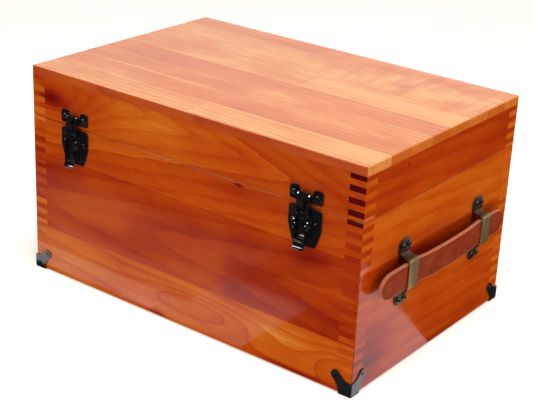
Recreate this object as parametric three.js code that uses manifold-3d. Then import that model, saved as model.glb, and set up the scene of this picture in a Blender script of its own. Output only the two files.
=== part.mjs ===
// A wooden footlocker with box-jointed corners, a hinged lid, two draw latches,
// four corner protectors and a leather strap handle on each side.
//
// Millimetres, +Z up, front towards -Y. Inside this file every piece is placed in the wood's
// own frame: x and y from the middle of the case, z from the underside of the wooden walls.
// The finished group is then lifted on to its corner protectors and centred front to back.
import * as THREE from 'three';
import { mergeVertices } from 'three/addons/utils/BufferGeometryUtils.js';
import Module from 'manifold-3d';

// ---- Driving dimensions -------------------------------------------------------------------

const LENGTH = 450;
const DEPTH = 300;
const HEIGHT = 247;
const WALL = 19;
const TOP_BOARD = 10;
const SEAM_Z = 189.5;
const SEAM_GAP = 0.6;

// The corners are finger-jointed in one piece and the lid is then sawn off, so the joint's
// pattern jumps by the width of the saw cut.
const FINGER = 6.35;
const SAW_CUT = 3.3;
const GLUE_LINE = 0.05;

const BOTTOM_PANEL = 6;
const BOTTOM_PANEL_Z = 6;
const GROOVE_DEPTH = 6;

const FIT_GAP = 0.3;

const PROTECTOR_SHEET = 1;
const PROTECTOR_SIDE = 15.5;
const PROTECTOR_LOBE = { centre: 20.3, radius: 5.3 };

const LATCH_X = 158;
const LATCH_SHEET = 1.4;
const LATCH_WIDTH = 40;
const LATCH_PIVOT = { proud: 7.6, z: 170 };
const CLAW_PIVOT = { proud: 4.6, z: 157.5 };
const CLAW_BACK = 3.9;
const CLAW_TOP_Z = 204.5;
const TAB_REACH = 14;

const HINGE_X = 150;
const HINGE_WIDTH = 40;
const HINGE_HEIGHT = 25;
const HINGE_SHEET = 1.6;
const KNUCKLE_RADIUS = 3;
const STOP_REACH = 10;

const HANDLE_Y = 3.5;
const BRACKET_SPACING = 149;
const BRACKET_WIDTH = 17.5;
const BRACKET_SHEET = 1.4;
const BRACKET_PLATE_OUT = 13.4;
const FOOT_WIDTH = 21.7;
const FOOT_SCREW_SPACING = 10.8;
const FOOT_SCREW_Z = [142, 81.5];

// At rest the strap sits a little nearer to the front than its brackets do.
const STRAP_Y = -3;
const STRAP_HALF_LENGTH = 124.7;
const STRAP_HEIGHT = 28;
const STRAP_Z = 112.6;
const STRAP_THICKNESS = 4.2;
const STRAP_OUT_AT_BRACKET = 10.2;
const STRAP_END_LENGTH = 18;

const FRONT_Y = -DEPTH / 2;
const BACK_Y = DEPTH / 2;
const SIDE_X = LENGTH / 2;
const BASE_TOP = SEAM_Z - SEAM_GAP / 2;
const LID_BOTTOM = SEAM_Z + SEAM_GAP / 2;
const LID_WALL_TOP = HEIGHT - TOP_BOARD;
const HINGE_AXIS_OUT = FIT_GAP + KNUCKLE_RADIUS;

// ---- Materials ----------------------------------------------------------------------------

const finish = (color, roughness, metalness) =>
  new THREE.MeshStandardMaterial({ color, roughness, metalness });

const varnishedWood = finish(0xb4481a, 0.25, 0);
const topWood = finish(0xd98a5c, 0.3, 0);
const plywood = finish(0xc79a66, 0.6, 0);
const blackEnamel = finish(0x101012, 0.25, 0.6);
const bronze = finish(0x6f5e3e, 0.35, 0.8);
const leather = finish(0x6e2f1c, 0.6, 0);
const steel = finish(0x8c8c90, 0.35, 1);

// ---- Solids: joining, cutting and placing -------------------------------------------------

const wasm = await Module();
wasm.setup();

function solid(geometry) {
  const bare = geometry.clone();
  bare.deleteAttribute('normal');
  bare.deleteAttribute('uv');
  const merged = mergeVertices(bare);
  const corners = merged.index.array;
  const triangles = [];
  for (let i = 0; i < corners.length; i += 3) {
    const [a, b, c] = corners.slice(i, i + 3);
    if (a !== b && b !== c && c !== a) triangles.push(a, b, c);
  }
  return new wasm.Manifold(new wasm.Mesh({
    numProp: 3,
    vertProperties: merged.attributes.position.array,
    triVerts: new Uint32Array(triangles),
  }));
}

function geometryOf(body) {
  const { vertProperties, triVerts } = body.getMesh();
  const geometry = new THREE.BufferGeometry();
  geometry.setAttribute('position', new THREE.BufferAttribute(vertProperties, 3));
  geometry.setIndex(new THREE.BufferAttribute(triVerts, 1));
  return geometry;
}

const joined = (bodies) => bodies.reduce((whole, body) => whole.add(body));
const cut = (body, tools) => tools.reduce((rest, tool) => rest.subtract(tool), body);

function block([x0, x1], [y0, y1], [z0, z1]) {
  const box = new THREE.BoxGeometry(x1 - x0, y1 - y0, z1 - z0);
  return solid(box.translate((x0 + x1) / 2, (y0 + y1) / 2, (z0 + z1) / 2));
}

const extruded = (shape, depth) =>
  new THREE.ExtrudeGeometry(shape, { depth, bevelEnabled: false, curveSegments: 6 });

// A flat sheet whose outline is drawn in x and y, from z0 upwards.
const sheetXY = (shape, z0, thickness) => solid(extruded(shape, thickness).translate(0, 0, z0));

// A flat sheet whose outline is drawn in x and z, from y0 towards the back.
const sheetXZ = (shape, y0, thickness) =>
  solid(extruded(shape, thickness).rotateX(Math.PI / 2).translate(0, y0 + thickness, 0));

// A flat sheet whose outline is drawn in y and z, from x0 to the right.
function sheetYZ(shape, x0, thickness) {
  const turn = new THREE.Matrix4().makeBasis(
    new THREE.Vector3(0, 1, 0),
    new THREE.Vector3(0, 0, 1),
    new THREE.Vector3(1, 0, 0),
  );
  return solid(extruded(shape, thickness).applyMatrix4(turn).translate(x0, 0, 0));
}

function rod(radius, length, axis, [x, y, z], sides = 12) {
  const cylinder = new THREE.CylinderGeometry(radius, radius, length, sides);
  if (axis === 'x') cylinder.rotateZ(Math.PI / 2);
  if (axis === 'z') cylinder.rotateX(Math.PI / 2);
  return solid(cylinder.translate(x, y, z));
}

// ---- Outlines -----------------------------------------------------------------------------

const shapeOf = (points) => new THREE.Shape(points.map(([x, y]) => new THREE.Vector2(x, y)));

// The corners of a line or outline, each turned into a short curve of its own radius.
function rounded(corners, radius, closed, steps = 3) {
  const path = new THREE.Path();
  const count = corners.length;
  const at = (i) => new THREE.Vector2(...corners[(i + count) % count]);
  const bend = (i) => {
    const corner = at(i);
    const before = at(i - 1).sub(corner);
    const after = at(i + 1).sub(corner);
    const reach = Math.min(radius, before.length() / 2, after.length() / 2);
    return { corner, start: before.setLength(reach).add(corner), end: after.setLength(reach).add(corner) };
  };
  const first = closed ? 0 : 1;
  const last = closed ? count : count - 1;
  const begin = closed ? bend(0).start : at(0);
  path.moveTo(begin.x, begin.y);
  for (let i = first; i < last; i += 1) {
    const { corner, start, end } = bend(i);
    path.lineTo(start.x, start.y);
    path.quadraticCurveTo(corner.x, corner.y, end.x, end.y);
  }
  if (!closed) path.lineTo(at(count - 1).x, at(count - 1).y);
  const points = path.getPoints(steps);
  if (closed && points[0].distanceTo(points[points.length - 1]) < 1e-6) points.pop();
  return points;
}

const roundedShape = (corners, radius, steps) => new THREE.Shape(rounded(corners, radius, true, steps));

// The section of a strip of even thickness that follows a line.
function strip(line, thickness) {
  const sideAt = (i, sign) => {
    const before = line[Math.max(i - 1, 0)];
    const after = line[Math.min(i + 1, line.length - 1)];
    const along = after.clone().sub(before).normalize();
    return new THREE.Vector2(-along.y, along.x).multiplyScalar((sign * thickness) / 2).add(line[i]);
  };
  const left = line.map((_, i) => sideAt(i, 1));
  const right = line.map((_, i) => sideAt(i, -1));
  return new THREE.Shape([...left, ...right.reverse()]);
}

const lineOf = (corners, radius, steps) => rounded(corners, radius, false, steps);

// ---- Assembly -----------------------------------------------------------------------------

const wholeLocker = new THREE.Group();

function addPiece(name, body, material, parent = wholeLocker) {
  const mesh = new THREE.Mesh(geometryOf(body), material);
  mesh.name = name;
  parent.add(mesh);
}

// ---- Wooden case --------------------------------------------------------------------------

// The z ranges of every second finger of the corner joint that lie between two heights. The
// front and back panels own the first finger from the bottom, the side panels own the next.
function fingerBands(owner, low, high, drop) {
  const bands = [];
  const first = owner === 'front' ? 0 : 1;
  for (let i = first; i * FINGER < HEIGHT + SAW_CUT; i += 2) {
    const bottom = Math.max(i * FINGER - drop, low - 1);
    const top = Math.min((i + 1) * FINGER - drop, high + 1);
    if (top > low && bottom < high) bands.push([bottom - GLUE_LINE / 2, top + GLUE_LINE / 2]);
  }
  return bands;
}

function longPanel(name, [y0, y1], [low, high], drop, extraCuts) {
  const slots = fingerBands('side', low, high, drop).flatMap((band) => [
    block([-SIDE_X - 1, -SIDE_X + WALL + GLUE_LINE / 2], [y0 - 1, y1 + 1], band),
    block([SIDE_X - WALL - GLUE_LINE / 2, SIDE_X + 1], [y0 - 1, y1 + 1], band),
  ]);
  const board = block([-SIDE_X, SIDE_X], [y0, y1], [low, high]);
  addPiece(name, cut(board, [...slots, ...extraCuts]), varnishedWood);
}

function sidePanel(name, [x0, x1], [low, high], drop, extraCuts) {
  const slots = fingerBands('front', low, high, drop).flatMap((band) => [
    block([x0 - 1, x1 + 1], [FRONT_Y - 1, FRONT_Y + WALL + GLUE_LINE / 2], band),
    block([x0 - 1, x1 + 1], [BACK_Y - WALL - GLUE_LINE / 2, BACK_Y + 1], band),
  ]);
  const board = block([x0, x1], [FRONT_Y, BACK_Y], [low, high]);
  addPiece(name, cut(board, [...slots, ...extraCuts]), varnishedWood);
}

function frameOfPanels(prefix, zRange, drop, frontCuts, sideCuts) {
  longPanel(`${prefix}_front_panel`, [FRONT_Y, FRONT_Y + WALL], zRange, drop, frontCuts);
  longPanel(`${prefix}_back_panel`, [BACK_Y - WALL, BACK_Y], zRange, drop, frontCuts);
  sidePanel(`${prefix}_left_panel`, [-SIDE_X, -SIDE_X + WALL], zRange, drop, sideCuts);
  sidePanel(`${prefix}_right_panel`, [SIDE_X - WALL, SIDE_X], zRange, drop, sideCuts);
}

const bottomReachX = SIDE_X - WALL + GROOVE_DEPTH;
const bottomReachY = BACK_Y - WALL + GROOVE_DEPTH;

function bottomGroove() {
  return block(
    [-bottomReachX - GLUE_LINE, bottomReachX + GLUE_LINE],
    [-bottomReachY - GLUE_LINE, bottomReachY + GLUE_LINE],
    [BOTTOM_PANEL_Z - GLUE_LINE, BOTTOM_PANEL_Z + BOTTOM_PANEL + GLUE_LINE],
  );
}

function bottomPanel() {
  const panel = block(
    [-bottomReachX, bottomReachX],
    [-bottomReachY, bottomReachY],
    [BOTTOM_PANEL_Z, BOTTOM_PANEL_Z + BOTTOM_PANEL],
  );
  addPiece('base_bottom_panel', panel, plywood);
}

function topBoard() {
  const board = block([-SIDE_X, SIDE_X], [FRONT_Y, BACK_Y], [LID_WALL_TOP + GLUE_LINE, HEIGHT]);
  addPiece('lid_top_board', board, topWood);
}

// ---- Screws -------------------------------------------------------------------------------

const SCREW = { headRadius: 3.6, headHeight: 2.4, shankRadius: 1.3, shankLength: 9, sides: 10 };
const PILOT_RADIUS = 1.7;

// A round-headed wood screw along +Z, with the underside of its head at z = 0.
function screwGeometry(scale) {
  const head = SCREW.headRadius * scale;
  const height = SCREW.headHeight * scale;
  const profile = [
    [0, -SCREW.shankLength],
    [SCREW.shankRadius, -SCREW.shankLength + 2],
    [SCREW.shankRadius, 0],
    [head, 0],
    [head * 0.87, height * 0.5],
    [head * 0.5, height * 0.87],
    [0, height],
  ];
  const points = profile.map(([r, z]) => new THREE.Vector2(r, z));
  return new THREE.LatheGeometry(points, SCREW.sides).rotateX(Math.PI / 2);
}

const sideScrew = (x, y, z, side) =>
  solid(screwGeometry(1).rotateY((side * Math.PI) / 2).translate(x, y, z));

const frontScrew = (x, y, z) => solid(screwGeometry(0.8).rotateX(Math.PI / 2).translate(x, y, z));

const pilotHole = (axis, place) => rod(PILOT_RADIUS, 2 * SCREW.shankLength + 4, axis, place, 8);

// ---- Corner protectors --------------------------------------------------------------------

// One of a protector's three wings, drawn from the case's corner towards +a and +b, with its
// nail lobe on the diagonal.
function wingOutline(signA, signB) {
  const { centre, radius } = PROTECTOR_LOBE;
  const side = PROTECTOR_SIDE;
  const outline = new THREE.Path();
  outline.moveTo(0, 0);
  outline.lineTo(side, 0);
  outline.quadraticCurveTo(side, 10, centre + 0.64 * radius, centre - 0.77 * radius);
  outline.absarc(centre, centre, radius, THREE.MathUtils.degToRad(-50), THREE.MathUtils.degToRad(140));
  outline.quadraticCurveTo(10, side, 0, side);
  const points = outline.getPoints(5);
  points.pop();
  return points.map((p) => new THREE.Vector2(p.x * signA, p.y * signB));
}

function cornerProtector(name, signX, signY) {
  const out = FIT_GAP + PROTECTOR_SHEET;
  const cornerX = signX * (SIDE_X + out);
  const cornerY = signY * (BACK_Y + out);
  const placed = (points, a, b) => new THREE.Shape(points.map((p) => new THREE.Vector2(p.x + a, p.y + b)));
  const bottom = placed(wingOutline(-signX, -signY), cornerX, cornerY);
  const face = placed(wingOutline(-signX, 1), cornerX, -out);
  const flank = placed(wingOutline(-signY, 1), cornerY, -out);
  const faceY = signY < 0 ? cornerY : cornerY - PROTECTOR_SHEET;
  const flankX = signX < 0 ? cornerX : cornerX - PROTECTOR_SHEET;
  addPiece(name, joined([
    sheetXY(bottom, -out, PROTECTOR_SHEET),
    sheetXZ(face, faceY, PROTECTOR_SHEET),
    sheetYZ(flank, flankX, PROTECTOR_SHEET),
  ]), blackEnamel);
}

// ---- Draw latches -------------------------------------------------------------------------

const proudY = (proud) => FRONT_Y - proud;

// A sheet parallel to the front of the case, between two distances out from the wood.
const frontSheet = (shape, near, far) => sheetXZ(shape, proudY(far), far - near);

const CHEEK = { inner: 5.9, thickness: 1.2 };
const LUG = { inner: 7.6, thickness: 1.3 };

// The same profile, drawn in distance out from the wood and height, on both sides of a latch.
function pairOfSides(latchX, { inner, thickness }, profile) {
  const shape = shapeOf(profile.map((p) => [proudY(p.x), p.y]));
  return [
    sheetYZ(shape, latchX + inner, thickness),
    sheetYZ(shape, latchX - inner - thickness, thickness),
  ].reduce((both, one) => both.add(one));
}

function latchBasePlate(name, x) {
  const half = LATCH_WIDTH / 2;
  const outline = roundedShape([
    [x - half, 187.5],
    [x - half, 166.5],
    [x - half + 6.5, 147],
    [x + half - 6.5, 147],
    [x + half, 166.5],
    [x + half, 187.5],
  ], 4);
  const plateFace = FIT_GAP + LATCH_SHEET;
  const lugProfile = rounded([
    [plateFace - 0.3, 162],
    [plateFace - 0.3, 180],
    [LATCH_PIVOT.proud + 3, 175],
    [LATCH_PIVOT.proud + 3, 166],
  ], 4, true);
  const plate = frontSheet(outline, FIT_GAP, plateFace);
  const pivotHole = rod(1.7, LATCH_WIDTH, 'x', [x, proudY(LATCH_PIVOT.proud), LATCH_PIVOT.z]);
  const body = joined([plate, pairOfSides(x, LUG, lugProfile)]).subtract(pivotHole);
  addPiece(name, body, blackEnamel);
}

function latchPivotRivet(name, x, side) {
  const shank = [CHEEK.inner - 0.2, LUG.inner + LUG.thickness + 0.1];
  const profile = [
    [0, shank[0]],
    [1.4, shank[0]],
    [1.4, shank[1]],
    [2.6, shank[1]],
    [2.1, shank[1] + 0.8],
    [0, shank[1] + 1.1],
  ].map(([r, along]) => new THREE.Vector2(r, along));
  const rivet = new THREE.LatheGeometry(profile, 12).rotateZ((-side * Math.PI) / 2);
  addPiece(name, solid(rivet.translate(x, proudY(LATCH_PIVOT.proud), LATCH_PIVOT.z)), steel);
}

function latchLever(name, x) {
  const cheekProfile = rounded([
    [4.4, 172.8],
    [10.6, 172.8],
    [10.2, 160],
    [10.4, 150.5],
    [7.6, 150.5],
    [2.9, 155],
    [2.9, 166],
  ], 2.4, true);
  const cheekReach = CHEEK.inner + CHEEK.thickness;
  const thumbLine = lineOf([
    [9.8, 155],
    [9.8, 149.5],
    [11, 147.2],
    [TAB_REACH, 146.4],
  ], 2);
  const thumbShape = strip(thumbLine.map((p) => new THREE.Vector2(proudY(p.x), p.y)), 1.2);
  const thumbPlate = sheetYZ(thumbShape, x - cheekReach, 2 * cheekReach);
  const tidyTab = block([x - 20, x + 20], [proudY(TAB_REACH), FRONT_Y], [140, 180]);
  const holes = [
    rod(1.7, 30, 'x', [x, proudY(LATCH_PIVOT.proud), LATCH_PIVOT.z]),
    rod(1.25, 30, 'x', [x, proudY(CLAW_PIVOT.proud), CLAW_PIVOT.z]),
  ];
  const lever = joined([pairOfSides(x, CHEEK, cheekProfile), thumbPlate]).intersect(tidyTab);
  addPiece(name, cut(lever, holes), blackEnamel);
}

function latchClawPin(name, x) {
  const pin = rod(1, 2 * (CHEEK.inner + CHEEK.thickness) + 0.4, 'x', [x, proudY(CLAW_PIVOT.proud), CLAW_PIVOT.z]);
  addPiece(name, pin, steel);
}

// The claw hangs on the lever and lies flat in front of the catch, clear of it, so that lid
// and latch can each be moved without the other.
function latchClaw(name, x) {
  const wide = 7.3;
  const narrow = 5.3;
  const web = roundedShape([
    [x - wide, CLAW_TOP_Z],
    [x - wide, 178],
    [x - narrow, 175.5],
    [x - narrow, CLAW_PIVOT.z],
    [x + narrow, CLAW_PIVOT.z],
    [x + narrow, 175.5],
    [x + wide, 178],
    [x + wide, CLAW_TOP_Z],
  ], 1.5);
  const front = CLAW_BACK + 1.2;
  const ribs = [x - wide, x + wide - 1.3].map((left) =>
    block([left, left + 1.3], [proudY(front + 2.4), proudY(front - 0.2)], [180, CLAW_TOP_Z - 2]));
  const bridge = block([x - wide, x + wide], [proudY(front + 1.5), proudY(front - 0.2)], [182.5, 184]);
  const eye = rod(2.3, 2 * narrow, 'x', [x, proudY(CLAW_PIVOT.proud), CLAW_PIVOT.z], 14);
  const eyeHole = rod(1.35, 30, 'x', [x, proudY(CLAW_PIVOT.proud), CLAW_PIVOT.z]);
  const body = joined([frontSheet(web, CLAW_BACK, front), ...ribs, bridge, eye]).subtract(eyeHole);
  addPiece(name, body, blackEnamel);
}

const CATCH_SCREW = { x: 14, z: 200.5 };

function latchCatchPlate(name, x) {
  const half = LATCH_WIDTH / 2;
  const outline = roundedShape([
    [x - half, 193],
    [x + half, 193],
    [x + half, 208],
    [x + 9, 208],
    [x + 8.4, 201],
    [x - 8.4, 201],
    [x - 9, 208],
    [x - half, 208],
  ], 3);
  const plate = frontSheet(outline, FIT_GAP, FIT_GAP + LATCH_SHEET);
  const lip = block([x - 5.5, x + 5.5], [proudY(CLAW_BACK - 0.4), proudY(FIT_GAP + 1)], [196, 199.5]);
  const holes = [-1, 1].map((side) => pilotHole('y', [x + side * CATCH_SCREW.x, FRONT_Y, CATCH_SCREW.z]));
  addPiece(name, cut(plate.add(lip), holes), blackEnamel);
}

function drawLatch(place, x) {
  latchBasePlate(`latch_${place}_base_plate`, x);
  latchLever(`latch_${place}_lever`, x);
  latchClaw(`latch_${place}_claw`, x);
  latchClawPin(`latch_${place}_claw_pin`, x);
  latchCatchPlate(`latch_${place}_catch_plate`, x);
  [['a', -1], ['b', 1]].forEach(([letter, side]) => {
    latchPivotRivet(`latch_${place}_pivot_rivet_${letter}`, x, side);
    const headSeat = proudY(FIT_GAP + LATCH_SHEET + 0.1);
    const screw = frontScrew(x + side * CATCH_SCREW.x, headSeat, CATCH_SCREW.z);
    addPiece(`latch_${place}_catch_screw_${letter}`, screw, blackEnamel);
  });
}

// ---- Hinges -------------------------------------------------------------------------------

const HINGE_Y = BACK_Y + HINGE_AXIS_OUT;
const KNUCKLE_GAP = 0.4;
const KNUCKLE_CLEAR = KNUCKLE_RADIUS + 0.4;

// A leaf standing up (direction 1) or hanging down (direction -1) from the hinge axis, joined
// to its knuckles. Each knuckle is a range of x across the hinge.
function hingeLeaf(x, direction, knuckles) {
  const half = HINGE_WIDTH / 2;
  const leafY = [BACK_Y + FIT_GAP, BACK_Y + FIT_GAP + HINGE_SHEET];
  const near = SEAM_Z + direction * KNUCKLE_CLEAR;
  const far = SEAM_Z + direction * HINGE_HEIGHT;
  const ordered = (a, b) => [Math.min(a, b), Math.max(a, b)];
  const plate = block([x - half, x + half], leafY, ordered(near, far));
  const barrels = knuckles.flatMap(([from, to]) => [
    rod(KNUCKLE_RADIUS, to - from, 'x', [x + (from + to) / 2, HINGE_Y, SEAM_Z], 16),
    block([x + from, x + to], leafY, ordered(SEAM_Z, near + direction * 0.5)),
  ]);
  const pinHole = rod(1.65, HINGE_WIDTH + 10, 'x', [x, HINGE_Y, SEAM_Z], 12);
  return joined([plate, ...barrels]).subtract(pinHole);
}

// The lid leaf carries a stop: a tongue that meets the base leaf when the lid is just past
// upright.
function hinge(place, x) {
  const half = HINGE_WIDTH / 2;
  const third = HINGE_WIDTH / 6;
  const outer = [[-half, -third - KNUCKLE_GAP], [third + KNUCKLE_GAP, half]];
  const inner = [[-third, third]];
  addPiece(`hinge_${place}_base_leaf`, hingeLeaf(x, -1, outer), blackEnamel);
  const tongue = block(
    [x - third + 1, x + third - 1],
    [HINGE_Y + 2.4, BACK_Y + STOP_REACH],
    [SEAM_Z - 0.7, SEAM_Z + 0.7],
  );
  addPiece(`hinge_${place}_lid_leaf`, hingeLeaf(x, 1, inner).add(tongue), blackEnamel);
  const pin = rod(1.3, HINGE_WIDTH + 1.6, 'x', [x, HINGE_Y, SEAM_Z], 12);
  addPiece(`hinge_${place}_pin`, pin, steel);
}

// ---- Handles ------------------------------------------------------------------------------

const outX = (side, out) => side * (SIDE_X + out);

// One bracket: a strip that rises from its upper foot, stands off the wood and returns to its
// lower foot. Each foot is a wider pad with two screws side by side.
function handleBracket(side, y) {
  const footMiddle = FIT_GAP + BRACKET_SHEET / 2;
  const line = lineOf([
    [outX(side, footMiddle), 146],
    [outX(side, footMiddle), 134],
    [outX(side, 4.5), 130.6],
    [outX(side, BRACKET_PLATE_OUT), 129.6],
    [outX(side, BRACKET_PLATE_OUT), 96.6],
    [outX(side, 4.5), 93.4],
    [outX(side, footMiddle), 89],
    [outX(side, footMiddle), 77],
  ], 3);
  const band = sheetXZ(strip(line, BRACKET_SHEET), y - BRACKET_WIDTH / 2, BRACKET_WIDTH);
  const padX = side > 0 ? SIDE_X + FIT_GAP : -SIDE_X - FIT_GAP - BRACKET_SHEET;
  const half = FOOT_WIDTH / 2;
  const pad = (z0, z1) => sheetYZ(roundedShape([
    [y - half, z0],
    [y + half, z0],
    [y + half, z1],
    [y - half, z1],
  ], 6), padX, BRACKET_SHEET);
  const holes = footScrewPlaces(y).map(([screwY, z]) => pilotHole('x', [side * SIDE_X, screwY, z]));
  return cut(joined([band, pad(135.5, 148.5), pad(75, 88)]), holes);
}

function footScrewPlaces(y) {
  return FOOT_SCREW_Z.flatMap((z) => [-1, 1].map((step) => [y + (step * FOOT_SCREW_SPACING) / 2, z]));
}

const bracketPlaces = [
  ['front', HANDLE_Y - BRACKET_SPACING / 2],
  ['back', HANDLE_Y + BRACKET_SPACING / 2],
];

// The strap runs straight behind each bracket and bows out between them.
function handleStrap(side) {
  const [nearY, farY] = bracketPlaces.map(([, y]) => y);
  const nearEnd = STRAP_Y - STRAP_HALF_LENGTH;
  const farEnd = STRAP_Y + STRAP_HALF_LENGTH;
  const straight = 13;
  const stations = [
    [nearEnd, 10.6],
    [nearEnd + 18, 10.4],
    [nearY - straight, STRAP_OUT_AT_BRACKET],
    [nearY, STRAP_OUT_AT_BRACKET],
    [nearY + straight, STRAP_OUT_AT_BRACKET],
    [nearY / 2, 12.4],
    [0, 13.2],
    [farY / 2, 12.4],
    [farY - straight, STRAP_OUT_AT_BRACKET],
    [farY, STRAP_OUT_AT_BRACKET],
    [farY + straight, STRAP_OUT_AT_BRACKET],
    [farEnd - 16, 10.2],
    [farEnd, 9.8],
  ];
  const points = stations.map(([y, out]) => new THREE.Vector2(outX(side, out), y));
  const line = new THREE.SplineCurve(points).getPoints(4 * (points.length - 1));
  const band = sheetXY(strip(line, STRAP_THICKNESS), STRAP_Z - STRAP_HEIGHT / 2, STRAP_HEIGHT);
  const straightHalf = STRAP_HALF_LENGTH - STRAP_END_LENGTH;
  const ends = new THREE.Shape();
  const [from, to] = [STRAP_Y - straightHalf, STRAP_Y + straightHalf];
  ends.moveTo(from, STRAP_Z - STRAP_HEIGHT / 2);
  ends.absellipse(to, STRAP_Z, STRAP_END_LENGTH, STRAP_HEIGHT / 2, -Math.PI / 2, Math.PI / 2);
  ends.absellipse(from, STRAP_Z, STRAP_END_LENGTH, STRAP_HEIGHT / 2, Math.PI / 2, 1.5 * Math.PI);
  const envelope = sheetYZ(ends, side > 0 ? SIDE_X : -SIDE_X - 30, 30);
  return band.intersect(envelope);
}

function handle(place, side) {
  bracketPlaces.forEach(([end, y]) => {
    addPiece(`handle_${place}_${end}_bracket`, handleBracket(side, y), bronze);
    footScrewPlaces(y).forEach(([screwY, z], i) => {
      const seat = outX(side, FIT_GAP + BRACKET_SHEET + 0.1);
      addPiece(`handle_${place}_${end}_screw_${i + 1}`, sideScrew(seat, screwY, z, side), blackEnamel);
    });
  });
  addPiece(`handle_${place}_strap`, handleStrap(side), leather);
}

// ---- Put together -------------------------------------------------------------------------

const sideHoles = [-1, 1].flatMap((side) => bracketPlaces.flatMap(([, y]) =>
  footScrewPlaces(y).map(([screwY, z]) => pilotHole('x', [side * SIDE_X, screwY, z]))));

const catchHoles = [-LATCH_X, LATCH_X].flatMap((x) => [-1, 1].map((side) =>
  pilotHole('y', [x + side * CATCH_SCREW.x, FRONT_Y, CATCH_SCREW.z])));

frameOfPanels('base', [0, BASE_TOP], 0, [bottomGroove()], [bottomGroove(), ...sideHoles]);
bottomPanel();
frameOfPanels('lid', [LID_BOTTOM, LID_WALL_TOP], SAW_CUT, catchHoles, []);
topBoard();

cornerProtector('corner_front_left', -1, -1);
cornerProtector('corner_front_right', 1, -1);
cornerProtector('corner_back_left', -1, 1);
cornerProtector('corner_back_right', 1, 1);

drawLatch('left', -LATCH_X);
drawLatch('right', LATCH_X);

hinge('left', -HINGE_X);
hinge('right', HINGE_X);

handle('left', -1);
handle('right', 1);

// The thumb tabs stand furthest out at the front and the hinge stops at the back; the case
// rests on its corner protectors.
wholeLocker.position.set(0, (TAB_REACH - STOP_REACH) / 2, FIT_GAP + PROTECTOR_SHEET);

export default wholeLocker;
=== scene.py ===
"""The looks of a wooden footlocker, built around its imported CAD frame.

Shapes are drawn in millimetres in the wood's own frame: x and y from the middle of the case, z
from the underside of its walls. TO_ROW takes them to the row frame, in metres.
"""

import math
import random

import bmesh
import bpy
from mathutils import Matrix, Vector


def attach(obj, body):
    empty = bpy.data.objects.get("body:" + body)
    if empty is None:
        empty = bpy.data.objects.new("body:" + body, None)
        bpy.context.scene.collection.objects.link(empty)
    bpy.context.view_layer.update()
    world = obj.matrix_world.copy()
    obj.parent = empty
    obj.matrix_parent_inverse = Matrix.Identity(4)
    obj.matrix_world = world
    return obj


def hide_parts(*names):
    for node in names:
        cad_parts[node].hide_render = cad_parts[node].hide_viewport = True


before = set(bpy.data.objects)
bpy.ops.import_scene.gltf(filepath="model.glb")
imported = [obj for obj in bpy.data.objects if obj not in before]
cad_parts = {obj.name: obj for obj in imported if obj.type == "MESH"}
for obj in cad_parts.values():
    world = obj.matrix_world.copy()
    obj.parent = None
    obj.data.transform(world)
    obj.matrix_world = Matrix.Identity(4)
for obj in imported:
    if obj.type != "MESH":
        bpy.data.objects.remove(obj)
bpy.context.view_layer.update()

# ---- Dimensions, in millimetres ---------------------------------------------------------------

HALF_LENGTH = 225
HALF_DEPTH = 150
WALL = 19
SEAM_Z = 189.5
CASE_TOP = 247
FIT_GAP = 0.3

OFFSET_Y = 2.0
OFFSET_Z = 1.3
TO_METRES = Matrix.Scale(0.001, 4)
TO_ROW = Matrix.Translation((0, OFFSET_Y / 1000, OFFSET_Z / 1000)) @ TO_METRES

LATCH_X = 158
HINGE_X = 150
BRACKET_Y = (-71.0, 78.0)

SIDES = {"left": -1, "right": 1}
ENDS = {"front": -1, "back": 1}


# ---- Node graphs ------------------------------------------------------------------------------


class Value:
    """A value the renderer works out. Arithmetic with it adds nodes to its graph."""

    def __init__(self, graph, socket):
        self.graph = graph
        self.socket = socket

    def __add__(self, other):
        return self.graph.math("ADD", self, other)

    def __sub__(self, other):
        return self.graph.math("SUBTRACT", self, other)

    def __rsub__(self, other):
        return self.graph.math("SUBTRACT", other, self)

    def __mul__(self, other):
        return self.graph.math("MULTIPLY", self, other)

    def __pow__(self, power):
        return self.graph.math("POWER", self, power)

    def __abs__(self):
        return self.graph.math("ABSOLUTE", self)

    __radd__ = __add__
    __rmul__ = __mul__


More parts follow.
